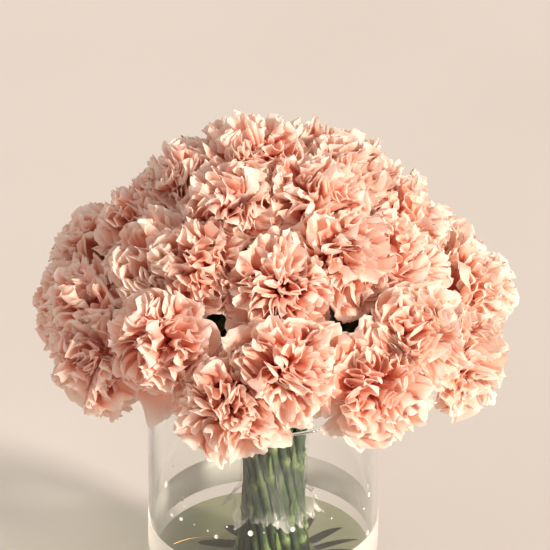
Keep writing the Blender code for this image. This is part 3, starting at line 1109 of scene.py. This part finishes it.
def band_material():
    material, tree = start_material("band_film")
    surface = add_node(
        tree,
        "ShaderNodeGroup",
        {"Smear scale": 40.0, "Dent scale": 900.0, "Dent depth": 0.0001},
        node_tree=smears_effect,
    ).outputs
    colour = ramp(
        tree, surface["Smears"], ((0.3, (0.84, 0.80, 0.74)), (0.7, (0.90, 0.87, 0.82)))
    )
    gloss = ramp(tree, surface["Smears"], ((0.3, (0.30,) * 3), (0.7, (0.42,) * 3)))
    skin = add_node(
        tree,
        "ShaderNodeBsdfPrincipled",
        {"Base Color": colour, "Roughness": gloss, "Normal": surface["Normal"]},
    )
    glow = add_node(tree, "ShaderNodeBsdfTranslucent", {"Color": colour})
    clear = add_node(tree, "ShaderNodeBsdfTransparent")
    lit = add_node(tree, "ShaderNodeMixShader", {0: 0.45, 1: skin.outputs[0], 2: glow.outputs[0]})
    both = add_node(tree, "ShaderNodeMixShader", {0: 0.28, 1: lit.outputs[0], 2: clear.outputs[0]})
    finish_material(tree, both.outputs[0])
    return material


band_low, band_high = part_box("label_band")
band_outer = (band_high[0] - band_low[0]) / 2
band_inner = band_outer - 0.4 * MM
edge = 0.12 * MM
band_outline = [(band_inner, band_low[2]), (band_outer - edge, band_low[2])]
band_outline += [(band_outer, band_low[2] + edge), (band_outer, band_high[2] - edge)]
band_outline += [(band_outer - edge, band_high[2]), (band_inner, band_high[2])]
band_outline += [band_outline[0]]
band = turned("frosted_band", band_outline, band_material())
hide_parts("label_band")
print("the band is", round((band_high[2] - band_low[2]) / MM), "mm tall")

# %% [markdown]
# ## Crumpled film
#
# Cellophane is wound round the waist of the bundle to hold it, and its lower edge flares out,
# torn and creased. Cloth simulation gives soft folds, but cellophane takes sharp creases, so the
# sheet is a tube of points pushed out along ridges: each ridge is the crest of a folded wave, and
# waves at many angles cross as creases do. Clear film hardly shows where it lies flat and turns
# milky where it is crumpled, so the points carry a haze that is thickest in the skirt. Thin
# milky lines drawn like creases are added to the haze: they are painted crease highlights.

# %% Film
FILM_ROWS = 110
FILM_COLUMNS = 420
FILM_CLEARANCE = 0.6 * MM
FILM_FLARE = 14 * MM
FILM_FOLDS = 9
FINE_FOLDS = 16
RIDGE_HEIGHT = 2.6
SKIRT_RIDGE = 7
SKIRT_LOBES = 5.0


def bundle_radius(height):
    """How far the outermost stem's middle line stands from the bundle's middle."""
    widest = 0
    for line in stem_lines:
        x = np.interp(height, line[:, 2], line[:, 0])
        y = np.interp(height, line[:, 2], line[:, 1])
        widest = max(widest, math.hypot(x - BOUQUET_X, y))
    return widest


def creases(rng, turn, height, count):
    """Crests of many crossing folded waves, from 0 in the hollows to about 1 on the ridges."""
    total = np.zeros(np.broadcast(turn, height).shape)
    weights = 0
    for fold in range(count):
        lobes = int(rng.integers(2, 5 + 3 * fold))
        slant = rng.uniform(-1, 1) * (60 + 45 * fold)
        wave = 1 - np.abs(np.sin(lobes * turn + slant * height + rng.uniform(0, 6)))
        weight = 1 / (1 + 0.35 * fold)
        total += weight * wave**1.6
        weights += weight
    return total / weights


def painted_crease_highlights(rng, turn, height, count):
    """Thin lines of painted crease highlight, drawn like folds: 1 on a line, 0 a little beside it."""
    lines = np.zeros(np.broadcast(turn, height).shape)
    for fold in range(count):
        lobes = int(rng.integers(1, 4 + fold))
        slant = rng.uniform(-1, 1) * (70 + 35 * fold)
        bend = 0.5 * np.sin(2 * turn + 90 * height + rng.uniform(0, 6))
        wave = 1 - np.abs(np.sin(lobes * turn + slant * height + bend))
        lines = np.maximum(lines, rng.uniform(0.5, 1) * wave**9)
    return lines


def film_material():
    material, tree = start_material("clear_film")
    values = add_node(tree, "ShaderNodeAttribute", attribute_name="values").outputs["Color"]
    crease = add_node(tree, "ShaderNodeSeparateColor", {"Color": values}).outputs["Red"]
    surface = add_node(
        tree,
        "ShaderNodeGroup",
        {"Smear scale": 60.0, "Dent scale": 160.0, "Dent depth": 0.0012},
        node_tree=smears_effect,
    ).outputs
    colour = ramp(tree, surface["Smears"], ((0.3, (0.27, 0.265, 0.235)), (0.7, (0.46, 0.45, 0.42))))
    gloss = ramp(tree, surface["Smears"], ((0.3, (0.06,) * 3), (0.7, (0.18,) * 3)))
    sheet = add_node(
        tree,
        "ShaderNodeBsdfPrincipled",
        {"Base Color": colour, "Roughness": gloss, "Normal": surface["Normal"]},
    )
    clear = add_node(tree, "ShaderNodeBsdfTransparent")
    # The red value is the haze, which carries the painted crease highlight lines as well as the
    # film's milkiness.
    patchy = math_node(tree, "MULTIPLY_ADD", surface["Smears"], 0.5)
    tree.links.new(crease, patchy.node.inputs[2])
    clearness = ((0.30, 0.97), (0.50, 0.90), (0.80, 0.62), (1.0, 0.36))
    milk = ramp(tree, patchy, tuple((at, (clear_share,) * 3) for at, clear_share in clearness))
    both = add_node(tree, "ShaderNodeMixShader", {0: milk, 1: sheet.outputs[0], 2: clear.outputs[0]})
    finish_material(tree, both.outputs[0])
    return material


def build_film():
    rng = np.random.default_rng(31)
    low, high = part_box("film_sleeve")
    turn = (np.arange(FILM_COLUMNS) * 2 * math.pi / FILM_COLUMNS)[None, :]
    share = np.linspace(0, 1, FILM_ROWS)[:, None]
    torn = creases(rng, turn, 0 * turn, 7)
    top_edge = creases(rng, turn, 0 * turn, 5)
    bottom = low[2] + 20 * MM * (1 - torn)
    top = high[2] - 9 * MM * top_edge
    height = bottom + (top - bottom) * share
    levels = np.linspace(low[2], high[2], 30)
    snug = np.array([bundle_radius(level) for level in levels])
    down = np.clip((WAIST_Z - height) / (WAIST_Z - low[2]), 0, 1)
    inner = np.interp(height, levels, snug) + STEM_DIAMETER / 2 + FILM_CLEARANCE
    inner = inner + FILM_FLARE * down**2
    ridge = creases(rng, turn, height, FILM_FOLDS)
    lobes = 1 + np.sin(3 * turn + 1.1) * np.sin(5 * turn + 40 * height)
    raised = ridge * (RIDGE_HEIGHT + SKIRT_RIDGE * down**2) + SKIRT_LOBES * lobes * down**2
    radius = inner + raised * MM
    x = BOUQUET_X + radius * np.cos(turn)
    y = radius * np.sin(turn)
    points = np.stack([x, y, height], axis=-1).reshape(-1, 3)
    values = np.zeros((len(points), 3))
    near_edge = 1 - smooth(0.0, 0.12, share)
    lines = painted_crease_highlights(rng, turn, height, FILM_FOLDS)
    crumple = np.clip((creases(rng, turn, height, FINE_FOLDS) - 0.2) * 4, 0, 1)
    skirt = smooth(0.30, 0.75, down)
    # The haze is the film's milkiness where it is crumpled and at its torn lower edge, plus the
    # painted crease highlight lines.
    haze_and_highlights = lines * (0.35 + 0.45 * skirt) + 0.2 * near_edge
    haze_and_highlights = haze_and_highlights + (0.08 + 0.42 * skirt) * (0.35 + crumple)
    values[:, 0] = np.clip(haze_and_highlights, 0, 1).ravel()
    faces = grid_faces(FILM_ROWS, FILM_COLUMNS, wrap=True)
    film = add_mesh("crumpled_film", points, faces, film_material(), values)
    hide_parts("film_sleeve")
    return film


film = build_film()
print("built the film with", len(film.data.polygons), "faces")

# %% [markdown]
# ## Drops and what floats
#
# Small drops cling to the inside of the glass above the water, and scraps of leaf and one thin
# dry strand float on it. Nobody looks for them, but glass without them looks empty. Each drop is
# a flat dome whose size varies widely, because real drops run together. A real drop gathers the
# window's light into a bright point, so the drops' finish is partly white. A few stripped leaves
# hang in the water beside the stems, each with its turn, its length and its width.

# %% Drops, scraps and strand
DROPS = 60
DROP_SIZE = (0.5, 1.6)
DROP_HEIGHTS = (3, 70)
SUNK_LEAVES = (
    (0.25, 34, 12), (-0.35, 38, 12), (-1.0, 28, 9), (2.7, 26, 10), (3.6, 28, 9),
    (0.0, 32, 15), (0.55, 32, 14), (0.95, 30, 12), (-0.15, 24, 16), (2.2, 22, 12),
)


def drop_grid(turn, height, size):
    """A flat dome of water on the inside of the vase wall."""
    rise = np.linspace(0.02, 1, 6)[:, None] * math.pi / 2
    angle = (np.arange(10) * 2 * math.pi / 10)[None, :]
    across = size * np.sin(rise) * np.cos(angle)
    up = size * np.sin(rise) * np.sin(angle) * 1.25
    out = size * 0.6 * np.cos(rise) + 0 * angle
    radius = BORE + INTO_GLASS - out
    spread = turn + across / BORE
    x = radius * np.cos(spread)
    y = radius * np.sin(spread)
    return np.stack([x, y, height + up], axis=-1)


def build_drops():
    rng = np.random.default_rng(77)
    grids = []
    for drop in range(DROPS):
        height = WATER_LEVEL + rng.uniform(*DROP_HEIGHTS) * MM
        size = (DROP_SIZE[0] + DROP_SIZE[1] * rng.random() ** 3) * MM
        shape = drop_grid(rng.uniform(0, 2 * math.pi), height, size)
        grids.append(grid_entry(shape, (0, 0, 0), drop, wrap=True))
    drops = add_grids("water_drops", grids, drop_finish)
    return drops


def build_scraps():
    """Leaf straps lying in the water and small scraps of leaf on it."""
    rng = np.random.default_rng(58)
    afloat = WATER_LEVEL + 0.4 * MM
    grids = []
    for turn, length, width in SUNK_LEAVES:
        along = np.array((math.cos(turn + 0.35), math.sin(turn + 0.35), 0.10))
        root = np.array(around(29 * MM, turn, WATER_LEVEL - 5 * MM))
        out = unit(np.cross(along, (math.sin(turn), -math.cos(turn), 0.4)))
        leaf = leaf_grid(root, unit(along), out, length * MM, width * MM, (0.1, 0.5))
        grids.append(grid_entry(leaf, (0.5, 0.1, 0), length))
    for scrap in range(9):
        turn = rng.uniform(0, 2 * math.pi)
        heading = rng.uniform(0, 2 * math.pi)
        root = np.array(around(rng.uniform(34, 52) * MM, turn, afloat))
        along = np.array((math.cos(heading), math.sin(heading), 0))
        leaf = leaf_grid(root, along, np.array((0, 0, 1.0)), rng.uniform(3, 9) * MM, 3 * MM, (0, 0.1))
        grids.append(grid_entry(leaf, (0.5, rng.uniform(0, 0.6), 0), 60 + scrap))
    scraps = add_grids("leaf_scraps", grids, green_finish)
    return scraps


def strand_material():
    material, tree = start_material("dry_strand")
    places = add_node(tree, "ShaderNodeAttribute", attribute_name="places").outputs["Vector"]
    skin = add_node(
        tree,
        "ShaderNodeGroup",
        {"Place": places, "Across": 4.0, "Along": 2.0, "Patch scale": 1.0, "Relief": 0.0002},
        node_tree=fibres_effect,
    ).outputs
    colour = ramp(tree, skin["Patches"], ((0.3, (0.55, 0.25, 0.06)), (0.7, (0.72, 0.42, 0.14))))
    shader = add_node(
        tree,
        "ShaderNodeBsdfPrincipled",
        {"Base Color": colour, "Roughness": 0.5, "Normal": skin["Normal"]},
    )
    finish_material(tree, shader.outputs[0])
    return material


def build_strand():
    share = np.linspace(0, 1, 30)
    x = (-60 + 36 * share) * MM
    y = (8 + 9 * np.sin(share * 2.6)) * MM
    z = WATER_LEVEL + 0.3 * MM + 0.3 * MM * np.sin(share * 9)
    line = np.stack([x, y, z], axis=1)
    radii = 0.35 * MM * (1 - 0.6 * share)
    grids = [grid_entry(tube_grid(line, radii, 6), (0, 0, 0), 1, wrap=True)]
    strand = add_grids("dry_strand", grids, strand_material())
    return strand


build_drops()
build_scraps()
build_strand()
print("added", DROPS, "drops, the scraps of leaf and the strand")

# %% [markdown]
# ## Floor and light
#
# A pale floor and warm light: a softened sun high on the right in front gives the blooms their
# bright right flank and shaded left one, and lights the floor evenly, as a lamp near it would
# not. The blooms that face left are also painted darker and rosier, as painted shade. A weak lamp
# on the left and a dim even room keep the shade open.

# %% Floor and lights


def floor_material():
    material, tree = start_material("pale_floor")
    where = add_node(tree, "ShaderNodeTexCoord").outputs["Object"]
    noise = add_node(
        tree, "ShaderNodeTexNoise", {"Vector": where, "Scale": 3.0, "Detail": 4.0}
    ).outputs[0]
    colour = ramp(tree, noise, ((0.3, (0.61, 0.56, 0.51)), (0.7, (0.63, 0.58, 0.53))))
    shader = add_node(
        tree, "ShaderNodeBsdfPrincipled", {"Base Color": colour, "Roughness": 0.6}
    )
    finish_material(tree, shader.outputs[0])
    return material


def add_lamp(name, place, aim, size, power, colour):
    data = bpy.data.lights.new(name, "AREA")
    data.shape = "DISK"
    data.size = size
    data.energy = power
    data.color = colour
    lamp = bpy.data.objects.new(name, data)
    lamp.location = place
    lamp.rotation_euler = (Vector(aim) - Vector(place)).to_track_quat("-Z", "Y").to_euler()
    bpy.context.collection.objects.link(lamp)
    return lamp


bpy.ops.mesh.primitive_plane_add(size=12, location=(0, 3, 0))
floor = bpy.context.object
floor.name = "floor"
floor.data.materials.append(floor_material())

SUN_POWER = 5.8
SUN_WIDTH = math.radians(9)
SUN_COLOUR = (1.0, 0.90, 0.80)
SUN_FROM = Vector((1.5, -1.2, 0.76))
ROOM_COLOUR = (1.0, 0.93, 0.88, 1)
ROOM_POWER = 0.62

sun_data = bpy.data.lights.new("window_sun", "SUN")
sun_data.energy = SUN_POWER
sun_data.angle = SUN_WIDTH
sun_data.color = SUN_COLOUR
sun = bpy.data.objects.new("window_sun", sun_data)
sun.rotation_euler = SUN_FROM.to_track_quat("Z", "Y").to_euler()
bpy.context.collection.objects.link(sun)
add_lamp("fill_lamp", (-1.6, -1.2, 1.2), (0, 0, 0.25), 1.6, 4, (1.0, 0.93, 0.90))
world = bpy.data.worlds.new("soft_room")
bpy.context.scene.world = world
world.use_nodes = True
world.node_tree.nodes["Background"].inputs["Color"].default_value = ROOM_COLOUR
world.node_tree.nodes["Background"].inputs["Strength"].default_value = ROOM_POWER
bpy.context.scene.view_settings.view_transform = "Standard"
print("lit the scene with a sun and a lamp")
